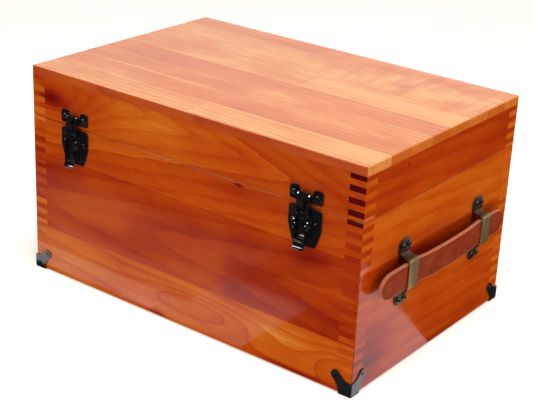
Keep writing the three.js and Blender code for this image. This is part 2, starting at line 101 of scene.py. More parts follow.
class Graph:
    """Builds one material's node tree. Its methods take numbers, colours and Values."""

    def __init__(self, name):
        self.material = bpy.data.materials.new(name)
        self.material.use_nodes = True
        self.tree = self.material.node_tree
        self.tree.nodes.clear()

    def add(self, kind, **settings):
        node = self.tree.nodes.new("ShaderNode" + kind)
        for key, value in settings.items():
            setattr(node, key, value)
        return node

    def feed(self, socket, value):
        if isinstance(value, Value):
            self.tree.links.new(value.socket, socket)
        elif isinstance(value, tuple):
            socket.default_value = (*value, 1.0)
        else:
            socket.default_value = value

    def math(self, operation, *values):
        node = self.add("Math", operation=operation)
        for socket, value in zip(node.inputs, values):
            self.feed(socket, value)
        return Value(self, node.outputs[0])

    def mapped(self, value, ends, interpolation):
        """Takes a value from one range to another: ends is low, high, to low, to high."""
        node = self.add("MapRange", interpolation_type=interpolation)
        self.feed(node.inputs[0], value)
        for socket, end in zip(list(node.inputs)[1:5], ends):
            socket.default_value = end
        return Value(self, node.outputs[0])

    def step(self, value, low, high):
        """0 below low, 1 above high, smooth between. With low above high it runs the other way."""
        ends = (low, high, 0.0, 1.0) if low < high else (high, low, 1.0, 0.0)
        return self.mapped(value, ends, "SMOOTHSTEP")

    def fit(self, value, low, high, to_low, to_high):
        return self.mapped(value, (low, high, to_low, to_high), "LINEAR")

    def split(self, vector):
        node = self.add("SeparateXYZ")
        self.feed(node.inputs[0], vector)
        return [Value(self, output) for output in node.outputs]

    def joined(self, x, y, z):
        node = self.add("CombineXYZ")
        for socket, value in zip(node.inputs, (x, y, z)):
            self.feed(socket, value)
        return Value(self, node.outputs[0])

    def noise(self, place, scales, detail=2.0, roughness=0.5):
        """Smooth noise from 0 to 1. scales is one scale, or one for each coordinate."""
        if not isinstance(scales, tuple):
            scales = (scales, scales, scales)
        node = self.add("TexNoise")
        self.feed(node.inputs["Vector"], self.joined(*[a * scale for a, scale in zip(place, scales)]))
        node.inputs["Scale"].default_value = 1.0
        node.inputs["Detail"].default_value = detail
        node.inputs["Roughness"].default_value = roughness
        return Value(self, node.outputs[0])

    def ramp(self, value, stops, constant=False):
        """A ramp over 0 to 1. Each stop is a place and a grey level or a linear colour."""
        node = self.add("ValToRGB")
        ramp = node.color_ramp
        ramp.interpolation = "CONSTANT" if constant else "LINEAR"
        while len(ramp.elements) < len(stops):
            ramp.elements.new(0.5)
        for element, (place, level) in zip(ramp.elements, stops):
            element.position = place
            colour = level if isinstance(level, tuple) else (level, level, level)
            element.color = (*colour, 1.0)
        self.feed(node.inputs[0], value)
        return Value(self, node.outputs[0])

    def bands(self, value, span, levels):
        """A step function over a span: levels is a list of (where it starts, grey level)."""
        low, high = span
        stops = [((start - low) / (high - low), level) for start, level in levels]
        return self.ramp(self.fit(value, low, high, 0.0, 1.0), stops, constant=True)

    def mix(self, factor, a, b):
        node = self.add("Mix", data_type="RGBA")
        for socket, value in ((node.inputs[0], factor), (node.inputs[6], a), (node.inputs[7], b)):
            self.feed(socket, value)
        return Value(self, node.outputs[2])

    def ridge(self, value, centre, width, height=1.0):
        """A smooth ridge of a height along one coordinate."""
        return self.math("EXPONENT", ((value - centre) * (1 / width)) ** 2.0 * -1.0) * height

    def hills(self, x, z, rows):
        """Smooth hills on a plane, from rows of (x, z, width, height, change)."""
        return sum(
            self.ridge(x, at_x, wide, change) * self.ridge(z, at_z, tall)
            for at_x, at_z, wide, tall, change in rows)

    def joints(self, value, places, change, reach=0.5):
        """Thin lines where boards meet."""
        return sum(self.step(abs(value - at), reach, 0.1) for at in places) * change

    def bump(self, height, distance, strength, below=None):
        node = self.add("Bump")
        node.inputs["Strength"].default_value = strength
        node.inputs["Distance"].default_value = distance
        self.feed(node.inputs["Height"], height)
        if below is not None:
            self.feed(node.inputs["Normal"], below)
        return Value(self, node.outputs[0])

    def millimetres(self):
        """The object's own coordinates, in the wood's frame."""
        x, y, z = self.split(Value(self, self.add("TexCoord").outputs["Object"]))
        return x * 1000.0, y * 1000.0 - OFFSET_Y, z * 1000.0 - OFFSET_Z

    def own_normal(self):
        """The way the real face points, without any smoothing, in the object's own axes."""
        turn = self.add("VectorTransform", vector_type="NORMAL", convert_from="WORLD", convert_to="OBJECT")
        self.feed(turn.inputs[0], Value(self, self.add("NewGeometry").outputs["True Normal"]))
        return self.split(Value(self, turn.outputs[0]))

    def pointiness(self):
        """How far the surface sticks out, for wear along its edges."""
        return Value(self, self.add("NewGeometry").outputs["Pointiness"])

    def finish(self, colour, roughness, normal=None, **settings):
        shader = self.add("BsdfPrincipled")
        self.feed(shader.inputs["Base Color"], colour)
        self.feed(shader.inputs["Roughness"], roughness)
        if normal is not None:
            self.feed(shader.inputs["Normal"], normal)
        for key, value in settings.items():
            self.feed(shader.inputs[key.replace("_", " ")], value)
        output = self.add("OutputMaterial")
        self.tree.links.new(shader.outputs[0], output.inputs[0])
        return self.material


# ---- Wood -------------------------------------------------------------------------------------

# Linear colours of the stained wood, from its darkest figure to its lightest.
STAIN = [
    (0.00, (0.055, 0.0008, 0.0018)),
    (0.20, (0.140, 0.0030, 0.0012)),
    (0.40, (0.280, 0.0150, 0.0008)),
    (0.55, (0.390, 0.0380, 0.0008)),
    (0.70, (0.490, 0.0730, 0.0014)),
    (0.85, (0.590, 0.1400, 0.0080)),
    (1.00, (0.720, 0.3100, 0.0800)),
]
UP = (0.0, 250.0)
BACK = (-150.0, 150.0)


def ring_lines(g, phase):
    """Growth rings: a slow swell in tone over each ring, and a fine line between rings."""
    turn = g.math("FRACT", phase)
    swell = g.step(turn, 0.0, 0.6) * g.step(turn, 1.0, 0.8)
    line = g.step(turn, 0.86, 0.93) * g.step(turn, 1.0, 0.94)
    return swell, line


def wood_material(name, axes, tone_of, coat_roughness=0.13):
    """Varnished wood. axes says which of x, y, z run along, across and into the boards. tone_of
    adds a panel's own boards and figure: it returns a tone, a ring phase and a ring line's tone."""
    g = Graph(name)
    place = g.millimetres()
    grain = [place["xyz".index(axis)] for axis in axes]
    facing = g.own_normal()["xyz".index(axes[0])]
    end_grain = g.step(abs(facing), 0.6, 0.75)

    wander = g.noise(grain, (0.006, 0.035, 0.03))
    ripple = g.noise(grain, (0.02, 0.16, 0.1))
    tone, phase, line_tone = tone_of(g, place, wander, ripple)

    swell, line = ring_lines(g, phase)
    streak = g.noise(grain, (0.008, 0.42, 0.42), 4.0, 0.6)
    fibre = g.noise(grain, (0.05, 3.0, 3.0), 3.0, 0.7)
    pores = g.step(g.noise(grain, (0.11, 2.1, 2.1), 1.0), 0.64, 0.74)
    cloud = g.noise(grain, (0.009, 0.022, 0.02), 4.0, 0.62)
    value = tone + (cloud - 0.5) * 0.42 + (streak - 0.5) * 0.19 + (fibre - 0.5) * 0.18
    value = value + (swell - 0.5) * 0.07 + line * line_tone + pores * -0.06
    colour = g.ramp(value, STAIN)

    # End grain: the cut fibres take the stain differently, finger by finger, and look speckled.
    speckle = g.noise(grain, (0.1, 1.6, 1.6), 3.0, 0.7)
    arcs = g.noise(grain, (0.02, 0.5, 0.12))
    end_value = end_tone(g, axes, place) + (speckle - 0.5) * 0.22 + (arcs - 0.5) * 0.22
    colour = g.mix(end_grain, colour, g.ramp(end_value, STAIN))

    lumps = g.noise(grain, (0.03, 0.09, 0.09), 1.0)
    normal = g.bump(fibre, 0.00004, 0.5)
    normal = g.bump(lumps, 0.0005, 0.3, normal)
    roughness = g.fit(streak + pores * 0.4, 0.3, 1.0, 0.36, 0.5)
    return g.finish(
        colour, roughness, normal, IOR=1.5, Specular_IOR_Level=0.0,
        Coat_Weight=1.0, Coat_Roughness=coat_roughness, Coat_IOR=1.5)


# Tones of the side panels' cut ends on the front face, from the bottom up: (from z, tone).
LEFT_ENDS = [
    (0, 0.74), (46, 0.84), (92, 0.62), (134, 0.44), (171, 0.56), (179, 0.84), (203, 0.76), (228, 0.52),
]
RIGHT_ENDS = [(0, 0.70), (44, 0.62), (66, 0.53), (96, 0.50), (140, 0.45), (183.5, 0.08)]

# The top board's staves: where each starts (y), the tone of its cut end, the tones of its left
# and right lengths, and where these meet, as a share of the board's length.
STAVES = [
    (-150, 0.93, 0.91, 0.96, 0.50),
    (-110, 0.78, 0.84, 0.82, 0.54),
    (-73, 0.84, 0.84, 0.87, 0.52),
    (-35, 0.76, 0.79, 0.83, 0.56),
    (2, 0.80, 0.91, 0.97, 0.57),
    (41, 0.85, 0.88, 0.90, 0.45),
    (78, 0.78, 0.90, 0.91, 0.58),
    (117, 0.86, 0.83, 0.85, 0.52),
]
STAVE_START, STAVE_END_TONE, STAVE_LEFT, STAVE_RIGHT, STAVE_MEETING = zip(*STAVES)


def by_stave(g, y, levels):
    return g.bands(y, BACK, list(zip(STAVE_START, levels)))


def end_tone(g, axes, place):
    """The tone of each cut end. On the side panels it follows the corner and the height."""
    x, y, z = place
    if axes == "xyz":
        return by_stave(g, y, STAVE_END_TONE)
    if axes[0] == "x":
        each = g.noise((0.0, y, z), (1.0, 0.028, 0.157), 1.0) * 0.18
        high = g.step(z, 184.0, 188.0) * 0.18
        behind = g.step(y, -50.0, 50.0) * (0.26 - high)
        return 0.44 + each + high + behind
    finger = g.math("FLOOR", z * (1 / 12.7))
    each = g.noise((finger, x, 0.5), (3.7, 0.011, 1.0), 0.0)
    on_right = g.step(x, -50.0, 50.0)
    right = g.bands(z, UP, RIGHT_ENDS) * on_right
    left = g.bands(z, UP, LEFT_ENDS) * (1.0 - on_right)
    return right + left + (each - 0.5) * 0.16


# Lighter and darker places on the front, and a painted shadow below the right latch:
# # (x, z, width, height, change of tone).
FRONT_PATCHES_AND_SHADOW = [
    (73.0, 186.2, 5.0, 1.7, -0.45),
    (-196.0, 215.0, 24.0, 11.0, -0.42),
    (-150.0, 215.0, 60.0, 30.0, -0.08),
    # A painted shadow below the right latch.
    (165.0, 134.0, 26.0, 12.0, -0.20),
    (110.0, 178.0, 80.0, 7.0, -0.09),
    (-60.0, 224.0, 90.0, 11.0, 0.07),
    (128.0, 34.0, 50.0, 14.0, 0.12),
    (60.0, 125.0, 90.0, 10.0, -0.06),
    (-120.0, 92.0, 60.0, 14.0, 0.10),
    (-200.0, 128.0, 32.0, 22.0, -0.14),
    (190.0, 200.0, 60.0, 30.0, -0.04),
    (-34.0, 4.0, 10.0, 3.0, -0.30),
    (160.0, 3.5, 60.0, 2.6, -0.30),
]
LOW_RING_HILLS = [(24.0, 30.0, 72.0, 15.0, 2.4), (212.0, 26.0, 36.0, 19.0, 2.6)]


def front_tone(g, place, wander, ripple):
    """Front and back: one board from the top down to z 146, then narrower ones edge to edge."""
    x, y, z = place
    right = g.step(x, 50.0, 66.0)
    wide = g.bands(z, UP, [(0, 0.75), (55, 0.55), (146, 0.62)])
    split = g.bands(z, UP, [(0, 0.73), (55, 0.46), (102, 0.51), (146, 0.61)])
    level = wide * (1.0 - right) + split * right
    seams = g.joints(z, (55.0, 146.0), -0.12) + g.joints(z, (102.0,), -0.12) * right

    # The wide board was cut near the heart: its rings are nested points that open leftwards.
    upper = g.step(z, 145.9, 146.1)
    rise = z - 211.0 + (x - 119.0) * 0.105 + (ripple - 0.5) * 7.0
    cone = g.math("SQRT", rise ** 2.0 + 30.0 + y * 0.15)
    reach = cone + x * 0.235
    top_phase = (reach - 34.6) * 0.066 + g.hills(x, z, [(-192.0, 216.0, 62.0, 26.0, -3.4)])
    low_cone = g.math("SQRT", (z - 96.0) ** 2.0 + 160.0)
    low_phase = (low_cone + x * -0.12) * 0.05 + g.hills(x, z, LOW_RING_HILLS)
    phase = upper * top_phase + (1.0 - upper) * low_phase + (wander - 0.5) * 0.7

    # Inside the first point the wood is lighter, with a bright line along its border.
    heart = g.step(reach, 34.8, 33.6) * upper
    border = g.step(reach, 33.4, 34.2) * g.step(reach, 35.8, 34.6) * upper
    patch = heart * 0.075 + border * 0.10 + g.hills(x, z, FRONT_PATCHES_AND_SHADOW)
    line_tone = g.bands(z, UP, [(0, 0.40), (55, 0.46), (146, 0.57)]) - 0.5
    return level + patch + seams, phase, line_tone


# Darker places on the sides, two of them painted shade: (y, z, width, height, change of tone).
SIDE_PATCHES_AND_SHADE = [
    # Painted shade over the lower front of each side, where it is less lit.
    (-128.0, 30.0, 44.0, 46.0, -0.34),
    # A painted shadow above the strap.
    (-20.0, 124.0, 104.0, 12.0, -0.20),
    (20.0, 4.0, 40.0, 3.5, -0.22),
    (-75.0, 229.0, 3.0, 2.2, -0.22),
]


def side_tone(g, place, wander, ripple):
    """Left and right: straight-grained boards, with joints at z 70 and 132."""
    x, y, z = place
    level = g.bands(z, UP, [(0, 0.61), (70, 0.65), (132, 0.71), (189.5, 0.52)])
    seams = g.joints(z, (70.0, 132.0), -0.05, 0.45)
    phase = z * 0.05 + y * 0.004 + x * 0.02 + wander * 1.2 + ripple * 0.15
    return level + seams + g.hills(y, z, SIDE_PATCHES_AND_SHADE), phase, 0.02


def top_tone(g, place, wander, ripple):
    """The lid's top is glued up from eight staves, some of them of two lengths."""
    x, y = place[:2]
    right_tone = by_stave(g, y, STAVE_RIGHT)
    meeting = g.fit(by_stave(g, y, STAVE_MEETING), 0.0, 1.0, -225.0, 225.0)
    on_right = g.step(x - meeting, -0.3, 0.3)
    level = by_stave(g, y, STAVE_LEFT) * (1.0 - on_right) + right_tone * on_right
    seams = g.joints(y, STAVE_START[1:], -0.06)
    bright = g.ridge(y, -110.4, 1.5, 0.30) * g.step(x, -40.0, 60.0)
    bright = bright + g.ridge(y, -72.4, 1.2, 0.20) * g.step(x, 30.0, -60.0)
    wave = g.noise((x, y, 0.0), (0.06, 0.02, 1.0))
    figure = g.hills(x, y, [(140.0, 95.0, 110.0, 38.0, 1.0)]) * (wave - 0.5)
    slope = y * 0.13 + x * 0.004 + right_tone * 9.0 + on_right * 2.3
    phase = slope + wander * 2.2 + ripple * 0.4
    front_edge = g.step(y, -148.9, -149.7) * -0.30
    return level + seams + bright + figure * 0.7 + front_edge, phase, -0.06


def plywood_material():
    g = Graph("bottom plywood")
    x, y, z = g.millimetres()
    face = g.step(abs(g.own_normal()[2]), 0.6, 0.75)
    wander = g.noise((x, y, 0.0), (0.006, 0.02, 1.0))
    swell, line = ring_lines(g, y * 0.05 + x * 0.006 + wander * 5.0)
    fibre = g.noise((x, y, z), (0.05, 2.4, 2.4), 3.0, 0.7)
    value = 0.48 + swell * 0.12 + line * -0.16 + (fibre - 0.5) * 0.3
    stops = [(0.0, (0.22, 0.11, 0.045)), (0.5, (0.50, 0.31, 0.15)), (1.0, (0.68, 0.48, 0.27))]
    layers = g.step(g.math("FRACT", z * 0.5), 0.45, 0.55)
    edge = g.mix(layers, (0.30, 0.15, 0.06), (0.56, 0.36, 0.18))
    colour = g.mix(face, edge, g.ramp(value, stops))
    normal = g.bump(fibre, 0.00006, 0.6)
    return g.finish(colour, g.fit(fibre, 0.2, 0.8, 0.5, 0.65), normal, IOR=1.5)


# ---- Metal, leather and stage -----------------------------------------------------------------


def enamel_material(name, base=(0.006, 0.006, 0.008), worn=(0.05, 0.04, 0.035), rough=(0.10, 0.22)):
    """Black stove enamel on steel: glossy, a little uneven, thinner along its edges."""
    g = Graph(name)
    place = g.millimetres()
    uneven = g.noise(place, 0.35, 3.0, 0.6)
    grit = g.noise(place, 3.0)
    wear = g.step(g.pointiness(), 0.52, 0.62) * g.step(grit, 0.45, 0.7)
    colour = g.mix(wear, base, worn)
    normal = g.bump(grit, 0.00002, 0.4)
    normal = g.bump(uneven, 0.0002, 0.35, normal)
    roughness = g.fit(uneven, 0.2, 0.8, *rough)
    return g.finish(colour, roughness, normal, IOR=1.55, Coat_Weight=0.8, Coat_Roughness=0.05)


def bronze_material():
    """Aged bronze plate: brown where it bends and along the rims. The plate's face between its
    necks is painted lighter: a painted reflection.
    """
    g = Graph("aged bronze")
    place = g.millimetres()
    z = place[2]
    mottle = g.noise(place, 0.22, 4.0, 0.65)
    grit = g.noise(place, 2.5)
    brushed = g.noise(place, (1.5, 2.2, 0.12))
    # The plate between its necks is painted lighter, a painted reflection, mottled and brushed.
    flat = g.step(z, 95.5, 98.5) * g.step(z, 130.8, 128.0)
    dark = g.ramp(mottle, [(0.25, (0.045, 0.022, 0.011)), (0.75, (0.15, 0.078, 0.040))])
    light = g.ramp(mottle, [(0.25, (0.36, 0.225, 0.082)), (0.75, (0.62, 0.410, 0.170))])
    colour = g.mix(flat * g.fit(brushed, 0.3, 0.7, 0.75, 1.0), dark, light)
    colour = g.mix(g.step(g.pointiness(), 0.53, 0.62) * 0.6, colour, (0.36, 0.26, 0.17))
    normal = g.bump(grit, 0.00003, 0.5)
    normal = g.bump(mottle, 0.0003, 0.3, normal)
    roughness = g.fit(mottle + grit * 0.4, 0.4, 1.1, 0.30, 0.52)
    return g.finish(colour, roughness, normal, Metallic=0.75, IOR=1.5)


def leather_face_material():
    """The strap's smooth dyed face, with fine creases."""
    g = Graph("strap leather face")
    place = g.millimetres()
    pattern = g.add("TexVoronoi")
    g.feed(pattern.inputs["Vector"], g.joined(*[a * 1.1 for a in place]))
    pattern.inputs["Scale"].default_value = 1.0
    cells = Value(g, pattern.outputs["Distance"])
    cloud = g.noise(place, (0.05, 0.05, 0.09), 3.0, 0.6)
    fine = g.noise(place, 2.0, 3.0, 0.6)
    crease = g.noise(place, (0.3, 0.45, 0.05), 2.0, 0.6)
    stops = [(0.15, (0.100, 0.009, 0.0015)), (0.5, (0.215, 0.022, 0.002)), (0.85, (0.34, 0.052, 0.008))]
    colour = g.ramp(cloud * 0.7 + crease * 0.2 + fine * 0.15, stops)
    normal = g.bump(cells, 0.00015, 0.35)
    normal = g.bump(crease, 0.0004, 0.4, normal)
    roughness = g.fit(cells + fine, 0.4, 1.4, 0.42, 0.6)
    return g.finish(colour, roughness, normal, IOR=1.45, Specular_IOR_Level=0.1)


def leather_edge_material():
    """The strap's raw, fibrous cut edge."""
    g = Graph("strap leather edge")
    place = g.millimetres()
    fine = g.noise(place, 2.0, 3.0, 0.6)
    threads = g.noise(place, (1.4, 0.35, 1.4), 4.0, 0.7)
    stops = [(0.2, (0.22, 0.052, 0.021)), (0.5, (0.44, 0.140, 0.064)), (0.8, (0.66, 0.28, 0.16))]
    colour = g.ramp(threads * 0.7 + fine * 0.3, stops)
    normal = g.bump(threads, 0.0005, 0.8)
    return g.finish(colour, g.fit(fine, 0.2, 0.8, 0.7, 0.85), normal, IOR=1.45)


def steel_material():
    g = Graph("bare steel")
    place = g.millimetres()
    haze = g.noise(place, 0.4, 3.0, 0.6)
    scratch = g.noise(place, (0.5, 6.0, 6.0))
    colour = g.ramp(haze, [(0.2, (0.10, 0.095, 0.09)), (0.8, (0.24, 0.235, 0.23))])
    normal = g.bump(scratch, 0.00002, 0.5)
    return g.finish(colour, g.fit(haze, 0.2, 0.8, 0.25, 0.45), normal, Metallic=1.0, IOR=2.5)


def stage_material(name, glow):
    g = Graph(name)
    cloud = g.noise(g.millimetres(), 0.002, 3.0)
    colour = g.ramp(cloud, [(0.2, (0.86, 0.82, 0.77)), (0.8, (0.90, 0.87, 0.83))])
    return g.finish(
        colour, 0.8, IOR=1.45, Specular_IOR_Level=0.0,
        Emission_Color=(1.0, 0.97, 0.93), Emission_Strength=glow)


WOOD_FRONT = wood_material("case wood front and back", "xzy", front_tone)
WOOD_SIDE = wood_material("case wood sides", "yzx", side_tone)
WOOD_TOP = wood_material("top board wood", "xyz", top_tone, coat_roughness=0.25)
PLYWOOD = plywood_material()
ENAMEL = enamel_material("black enamel")
PROTECTOR_ENAMEL = enamel_material("protector enamel", (0.012, 0.012, 0.014), (0.09, 0.08, 0.07))
SCREW_BLACK = enamel_material("black screws", (0.005, 0.005, 0.006), (0.04, 0.04, 0.04), (0.22, 0.4))
BRONZE = bronze_material()
LEATHER_FACE = leather_face_material()
LEATHER_EDGE = leather_edge_material()
STEEL = steel_material()


# ---- Mesh tools -------------------------------------------------------------------------------


def linked(name, data):
    """A new object in the scene."""
    thing = bpy.data.objects.new(name, data)
    bpy.context.scene.collection.objects.link(thing)
    return thing


def add_object(name, mesh, materials, body, replaced=()):
    """A piece that rides on a CAD body and stands in for the CAD nodes named in replaced."""
    piece = linked(name, mesh)
    if not mesh.materials:
        for material in materials:
            mesh.materials.append(material)
    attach(piece, body)
    if replaced:
        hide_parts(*replaced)
    return piece


def drawn_mesh(bm, name):
    mesh = bpy.data.meshes.new(name)
    bm.to_mesh(mesh)
    bm.free()
    return mesh


def shade(mesh, degrees):
    """Smooth shading, with edges that turn by more than these degrees kept sharp."""
    mesh.shade_smooth()
    mesh.set_sharp_from_angle(angle=math.radians(degrees))


def mesh_from(bm, name, placed=TO_ROW):
    """Closes a drawing: normals outward, millimetres to metres, smooth below 35 degrees."""
    bmesh.ops.recalc_face_normals(bm, faces=bm.faces)
    mesh = drawn_mesh(bm, name)
    mesh.transform(placed)
    shade(mesh, 35)
    return mesh


def soften(piece, width, segments=2):
    """Rounds a piece's sharp edges by a width in millimetres."""
    bevel = piece.modifiers.new("rounded edges", "BEVEL")
    bevel.width = width / 1000
    bevel.segments = segments
    bevel.limit_method = "ANGLE"
    bevel.angle_limit = math.radians(35)
    bevel.harden_normals = True
    return piece


def piece_from(bm, name, materials, body, replaced, width=0, segments=2):
    """A piece from a drawing, with its edges rounded by a width in millimetres."""
    piece = add_object(name, mesh_from(bm, name), materials, body, replaced)
    return soften(piece, width, segments) if width else piece


def stand_in(bm, node, materials, body, width=0, segments=2):
    """A piece that replaces one CAD node and is named after it."""
    return piece_from(bm, f"{node}_visual", materials, body, [node], width, segments)


def as_drawn(a, b, c):
    return (a, b, c)


def prism(bm, outline, near, far, place):
    """A flat sheet from an outline (u, w) between two depths; place(u, w, depth) puts it."""
    low = [bm.verts.new(place(u, w, near)) for u, w in outline]
    high = [bm.verts.new(place(u, w, far)) for u, w in outline]
    bm.faces.new(low[::-1])
    bm.faces.new(high)
    count = len(outline)
    for i in range(count):
        j = (i + 1) % count
        bm.faces.new((low[i], low[j], high[j], high[i]))


def skin(bm, loops):
    """A closed tube through loops that all have the same number of points."""
    rings = [[bm.verts.new(point) for point in loop] for loop in loops]
    count = len(rings[0])
    sides = []
    for near, far in zip(rings, rings[1:]):
        for i in range(count):
            j = (i + 1) % count
            sides.append((bm.faces.new((near[i], near[j], far[j], far[i])), i))
    bm.faces.new(rings[0][::-1])
    bm.faces.new(rings[-1])
    return sides


def rounded(corners, radii, closed=True, steps=5):
    """Corners joined by short curves. radii is one radius, or one for each corner."""
    count = len(corners)
    points = [Vector(corner) for corner in corners]
    sizes = radii if isinstance(radii, (list, tuple)) else [radii] * count
    line = []
    for i, corner in enumerate(points):
        if not closed and i in (0, count - 1):
            line.append(tuple(corner))
            continue
        before = points[i - 1] - corner
        after = points[(i + 1) % count] - corner
        reach = min(sizes[i], before.length / 2, after.length / 2)
        start = corner + before.normalized() * reach
        end = corner + after.normalized() * reach
        for k in range(steps + 1):
            t = k / steps
            line.append(tuple(start * (1 - t) ** 2 + corner * (2 * t * (1 - t)) + end * t ** 2))
    return without_repeats(line, closed)


def slab(bm, u, w, radii, near, far, place):
    """A prism on a rectangle with rounded corners; u and w are its two extents."""
    corners = [(u[0], w[0]), (u[1], w[0]), (u[1], w[1]), (u[0], w[1])]
    prism(bm, rounded(corners, radii), near, far, place)


def without_repeats(line, closed):
    kept = [line[0]]
    for point in line[1:]:
        if math.dist(point, kept[-1]) > 1e-4:
            kept.append(point)
    if closed and math.dist(kept[0], kept[-1]) < 1e-4:
        kept.pop()
    return kept


def resampled(line, spacing):
    """The same line with points added so that no stretch is longer than spacing."""
    points = [line[0]]
    for a, b in zip(line, line[1:]):
        pieces = max(1, math.ceil(math.dist(a, b) / spacing))
        for k in range(1, pieces + 1):
            points.append(tuple(a[i] + (b[i] - a[i]) * k / pieces for i in range(2)))
    return points


def travelled(line):
    """Distance along a line at each of its points."""
    total = [0.0]
    for a, b in zip(line, line[1:]):
        total.append(total[-1] + math.dist(a, b))
    return total


def normals_of(line):
    found = []
    for i in range(len(line)):
        a = Vector(line[max(i - 1, 0)])
        b = Vector(line[min(i + 1, len(line) - 1)])
        way = (b - a).normalized()
        found.append(Vector((-way.y, way.x)))
    return found


def bar_section(half_width, half_thickness, radius, steps=3):
    """A rounded rectangle as (across, through) pairs."""
    corners = [
        (half_width, -half_thickness),
        (half_width, half_thickness),
        (-half_width, half_thickness),
        (-half_width, -half_thickness),
    ]
    safe = min(radius, half_width * 0.95, half_thickness * 0.95)
    section = []
    for i, (u, w) in enumerate(corners):
        centre = (u - math.copysign(safe, u), w - math.copysign(safe, w))
        begin = -math.pi / 2 + i * math.pi / 2
        for k in range(steps + 1):
            angle = begin + k * math.pi / 2 / steps
            section.append((centre[0] + safe * math.cos(angle), centre[1] + safe * math.sin(angle)))
    return section


def bent_strip(bm, line, thickness, half_width_at, place, radius=0.35):
    """A strip of sheet that follows a line in (out, z). place(out, z, across) puts it."""
    loops = []
    way = travelled(line)
    for point, normal, distance in zip(line, normals_of(line), way):
        section = bar_section(half_width_at(distance, way[-1]), thickness / 2, radius)
        loops.append([
            place(point[0] + normal.x * through, point[1] + normal.y * through, across)
            for across, through in section
        ])
    skin(bm, loops)


def lathe(bm, profile, segments, place, bored=False):
    """Turns a profile of (radius, height) pairs. It starts and ends on the axis; a bored one
    closes on itself and leaves a hole."""
    angles = [2 * math.pi * k / segments for k in range(segments)]
    rings = []
    for radius, height in profile:
        rings.append([
            bm.verts.new(place(radius * math.cos(angle), radius * math.sin(angle), height))
            for angle in (angles if radius > 0 else angles[:1])
        ])
    following = rings[1:] + rings[:1] if bored else rings[1:]
    for low, high in zip(rings, following):
        for k in range(segments):
            j = (k + 1) % segments
            corners = [low[k % len(low)], low[j % len(low)], high[j % len(high)], high[k % len(high)]]
            bm.faces.new(list(dict.fromkeys(corners)))


def box_into(bm, x, y, z):
    corners = [Vector((a, b, c)) for c in z for b in y for a in x]
    verts = [bm.verts.new(corner) for corner in corners]
    for face in ((0, 2, 3, 1), (4, 5, 7, 6), (0, 1, 5, 4), (2, 6, 7, 3), (0, 4, 6, 2), (1, 3, 7, 5)):
        bm.faces.new([verts[i] for i in face])


def carved(base, tool, operation):
    """The mesh of base after a Boolean with tool. Both helper objects are removed."""
    modifier = base.modifiers.new("carve", "BOOLEAN")
    modifier.operation = operation
    modifier.object = tool
    modifier.solver = "EXACT"
    shaped = bpy.data.meshes.new_from_object(base.evaluated_get(bpy.context.evaluated_depsgraph_get()))
    for helper in (base, tool):
        bpy.data.objects.remove(helper)
    return shaped


def loose_mesh(mesh, name):
    """An object that only serves a Boolean."""
    helper = linked(name, mesh)
    bpy.context.view_layer.update()
    return helper


def loose_object(bm, name):
    bmesh.ops.recalc_face_normals(bm, faces=bm.faces)
    return loose_mesh(drawn_mesh(bm, name), name)


# ---- Places on the case -----------------------------------------------------------------------


def on_end(end, centre_x):
    """place(u, z, proud) on the front or back: u from centre_x, proud out from the wood."""
    return lambda u, z, proud: (centre_x + u, ENDS[end] * (HALF_DEPTH + proud), z)


def on_side(side):
    """place(y, z, out): out is the distance from the wood of the left or right side."""
    return lambda y, z, out: (SIDES[side] * (HALF_LENGTH + out), y, z)


# ---- Wooden case ------------------------------------------------------------------------------

CORNER_ROUND = 1.6


def close_to(value, wanted, reach=0.01):
    return abs(value - wanted) < reach


def on_skin(x, y):
    """True on the case's outline in plan, whose corners are rounded."""
    qx = abs(x) - (HALF_LENGTH - CORNER_ROUND)
    qy = abs(y) - (HALF_DEPTH - CORNER_ROUND)
    outside = math.hypot(max(qx, 0), max(qy, 0))
    return close_to(outside + min(max(qx, qy), 0), CORNER_ROUND, 0.02)


def on_rim(x, y):
    """True on the inner faces of the walls."""
    return close_to(abs(x), HALF_LENGTH - WALL) or close_to(abs(y), HALF_DEPTH - WALL)


def turns(edge):
    return len(edge.link_faces) == 2 and edge.calc_face_angle() > math.radians(60)


def upright_corner(edge):
    a, b = (vert.co for vert in edge.verts)
    on_corner = close_to(abs(a.x), HALF_LENGTH) and close_to(abs(a.y), HALF_DEPTH)
    return on_corner and close_to((a.xy - b.xy).length, 0) and turns(edge)


def on_level(level, outline):
    """A test for the edges at one height that follow an outline in plan."""
    def test(edge):
        return turns(edge) and all(
            close_to(vert.co.z, level) and outline(vert.co.x, vert.co.y) for vert in edge.verts)
    return test


def bevel_where(bm, wanted, width, segments):
    edges = [edge for edge in bm.edges if wanted(edge)]
    bmesh.ops.bevel(
        bm, geom=edges, offset=width, segments=segments, profile=0.5, affect="EDGES", clamp_overlap=True)


def wooden_piece(name, node, material, body):
    """A panel from its CAD node, with only its outer edges and its rim rounded, so that the
    finger joints stay tight."""
    bm = bmesh.new()
    bm.from_mesh(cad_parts[node].data)
    bm.transform(TO_ROW.inverted())
    bmesh.ops.remove_doubles(bm, verts=bm.verts, dist=0.004)
    bmesh.ops.dissolve_limit(bm, angle_limit=math.radians(1), verts=bm.verts, edges=bm.edges)
    heights = [vert.co.z for vert in bm.verts]
    low, high = min(heights), max(heights)
    bevel_where(bm, upright_corner, CORNER_ROUND, 4)
    if low < 1:
        bevel_where(bm, on_level(low, on_skin), 1.2, 3)
    if high > CASE_TOP - 1:
        bevel_where(bm, on_level(high, on_skin), 1.7, 4)
    for level in (low, high):
        if close_to(level, SEAM_Z, 1):
            bevel_where(bm, on_level(level, on_skin), 0.35 if level < SEAM_Z else 0.4, 2)
            bevel_where(bm, on_level(level, on_rim), 0.7, 2)
    piece = add_object(name, mesh_from(bm, name), [material], body, [node])
    weighted = piece.modifiers.new("even shading", "WEIGHTED_NORMAL")
    weighted.keep_sharp = True
    return piece


